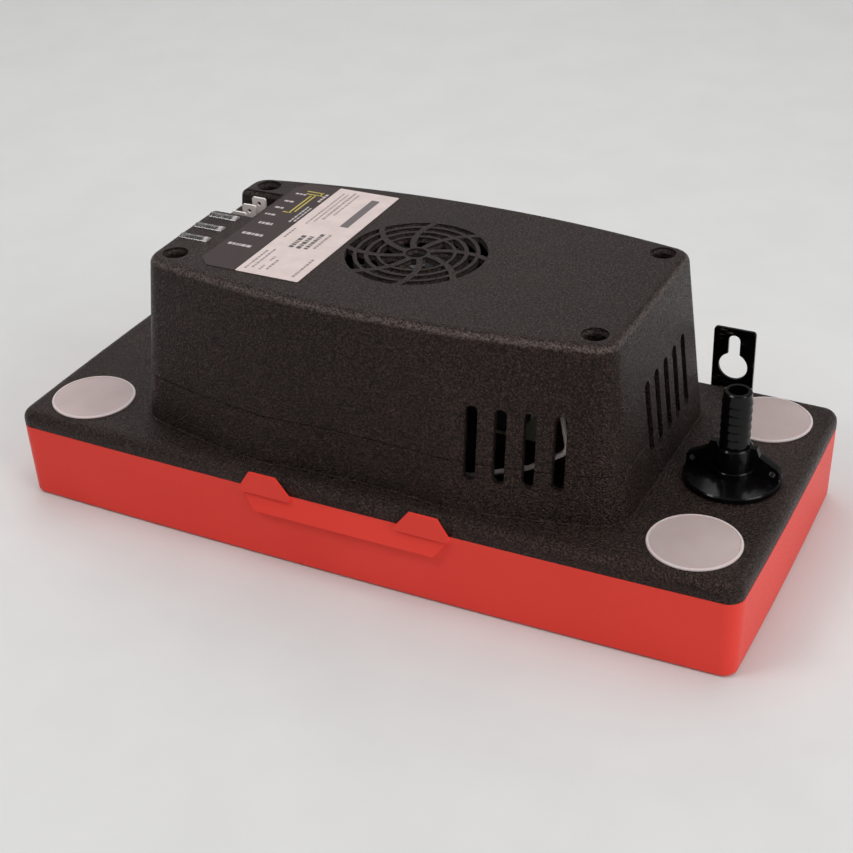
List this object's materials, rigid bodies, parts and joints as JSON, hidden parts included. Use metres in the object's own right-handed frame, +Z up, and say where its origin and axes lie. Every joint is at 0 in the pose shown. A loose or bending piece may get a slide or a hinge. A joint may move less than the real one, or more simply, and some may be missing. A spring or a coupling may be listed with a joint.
{
  "type": "condensate pump",
  "caption": "Low-profile condensate pump: shallow red tank under a lift-off black head with barrel-sided motor cover, swirl fan guard, push-in inlet plugs, barbed outlet and keyhole hangers.",
  "frame": {"origin": "centre of the underside of the tank", "axes": "+X along the tank towards the discharge fitting, -Y the front, +Z up"},
  "size_m": [0.3016, 0.1386, 0.1075],
  "materials": {
    "red_tank": "satin moulded ABS",
    "black_housing": "fine moulded grain",
    "black_nylon": "smooth moulded",
    "gloss_nylon": "polished moulding",
    "natural_nylon": "smooth moulded",
    "inlet_plug": "smooth translucent polyethylene",
    "black_steel": "black finish with scratches",
    "zinc_screw": "zinc plated",
    "stainless": "drawn",
    "lamination_steel": "punched laminations",
    "copper": "bare copper",
    "winding_tape": "enamelled copper wire",
    "diecast_alloy": "as cast",
    "sintered_bronze": "sintered",
    "tinned_brass": "tinned",
    "lead_insulation": "smooth insulation",
    "clear_vinyl": "smooth tube",
    "switch_case": "smooth moulded",
    "button_plastic": "smooth moulded",
    "circuit_board": "solder mask",
    "lamp_lens": "diffused",
    "clear_acrylic": "polished",
    "white_label": "printed film",
    "dark_label": "printed film",
    "fan_plastic": "smooth moulded",
    "float_foam": "smooth closed shell",
    "black_rubber": "moulded"
  },
  "bodies": {
    "tank": {"tank": "red_tank"},
    "head": {"deck": "black_housing", "motor_cover": "black_housing", "cover_screws": "zinc_screw", "cord_gland": "black_nylon", "stator_stack": "lamination_steel", "shading_rings": "copper", "coil_bobbin": "natural_nylon", "coil_winding": "winding_tape", "lower_bearing_bracket": "diecast_alloy", "upper_bearing_bracket": "diecast_alloy", "lower_bearing": "sintered_bronze", "upper_bearing": "sintered_bronze", "motor_bolts": "zinc_screw", "motor_leads": "lead_insulation", "pump_housing": "black_nylon", "intake_cover": "black_nylon", "pump_screws": "stainless", "discharge_pipe": "clear_vinyl", "switch_bracket": "black_nylon", "bracket_screws": "zinc_screw", "switch_bolts": "zinc_screw", "switch_blades": "tinned_brass", "run_switch": "switch_case", "safety_switch": "switch_case", "indicator_board": "circuit_board", "indicator_lamps": "lamp_lens", "light_pipes": "clear_acrylic", "terminal_block": "black_nylon", "spade_terminals": "tinned_brass", "rating_label": "white_label", "switch_label": "dark_label", "hanger_bracket_left": "black_steel", "hanger_bracket_right": "black_steel", "hanger_screws": "stainless"},
    "rotor": {"motor_shaft": "stainless", "rotor_core": "lamination_steel", "cooling_fan": "fan_plastic", "shaft_slinger": "black_rubber", "impeller": "natural_nylon"},
    "float": {"float_block": "float_foam", "float_stem": "natural_nylon"},
    "run_lever": {"run_switch_lever": "stainless"},
    "safety_lever": {"safety_switch_lever": "stainless"},
    "run_button": {"run_switch_button": "button_plastic"},
    "safety_button": {"safety_switch_button": "button_plastic"},
    "valve": {"valve_body": "gloss_nylon", "valve_seal": "black_rubber"},
    "ball": {"check_ball": "black_rubber", "valve_spring": "stainless"},
    "plug_front_left": {"inlet_plug_front_left": "inlet_plug"},
    "plug_front_right": {"inlet_plug_front_right": "inlet_plug"},
    "plug_back_right": {"inlet_plug_back_right": "inlet_plug"},
    "plug_back_left": {"inlet_plug_back_left": "inlet_plug"}
  },
  "joints": [
    {"name": "head_lift", "type": "slide", "parent": "tank", "child": "head", "axis": [0, 0, 1], "range_m": [0, 0.06]},
    {"name": "rotor_spin", "type": "hinge", "parent": "head", "child": "rotor", "pos_m": [0, 0, 0.067], "axis": [0, 0, 1], "continuous": true},
    {"name": "float_lift", "type": "slide", "parent": "head", "child": "float", "axis": [0, 0, 1], "range_m": [0, 0.012]},
    {"name": "run_lever_turn", "type": "hinge", "parent": "head", "child": "run_lever", "pos_m": [-0.044, -0.0095, 0.06453], "axis": [0, 1, 0], "range_deg": [0, 20.7]},
    {"name": "safety_lever_turn", "type": "hinge", "parent": "head", "child": "safety_lever", "pos_m": [-0.044, 0.0095, 0.06453], "axis": [0, 1, 0], "range_deg": [0, 11.7]},
    {"name": "run_button_push", "type": "slide", "parent": "head", "child": "run_button", "axis": [0, 0, 1], "range_m": [0, 0.00083]},
    {"name": "safety_button_push", "type": "slide", "parent": "head", "child": "safety_button", "axis": [0, 0, 1], "range_m": [0, 0.00046]},
    {"name": "valve_turn", "type": "hinge", "parent": "head", "child": "valve", "pos_m": [0.1264, 0, 0.04], "axis": [0, 0, 1], "range_deg": [0, 90]},
    {"name": "ball_lift", "type": "slide", "parent": "valve", "child": "ball", "axis": [0, 0, 1], "range_m": [0, 0.003], "stiffness_N_per_m": 60, "springref_m": -0.004, "deforming": ["valve_spring"]},
    {"name": "plug_front_left_pull", "type": "slide", "parent": "head", "child": "plug_front_left", "axis": [0, 0, 1], "range_m": [0, 0.02]},
    {"name": "plug_front_right_pull", "type": "slide", "parent": "head", "child": "plug_front_right", "axis": [0, 0, 1], "range_m": [0, 0.02]},
    {"name": "plug_back_right_pull", "type": "slide", "parent": "head", "child": "plug_back_right", "axis": [0, 0, 1], "range_m": [0, 0.02]},
    {"name": "plug_back_left_pull", "type": "slide", "parent": "head", "child": "plug_back_left", "axis": [0, 0, 1], "range_m": [0, 0.02]}
  ],
  "couplings": [
    {"joint": "run_lever_turn", "follows": "float_lift", "rad_per_m": 30.005},
    {"joint": "safety_lever_turn", "follows": "float_lift", "rad_per_m": 16.915},
    {"joint": "run_button_push", "follows": "float_lift", "ratio": 0.0685},
    {"joint": "safety_button_push", "follows": "float_lift", "ratio": 0.0375}
  ]
}
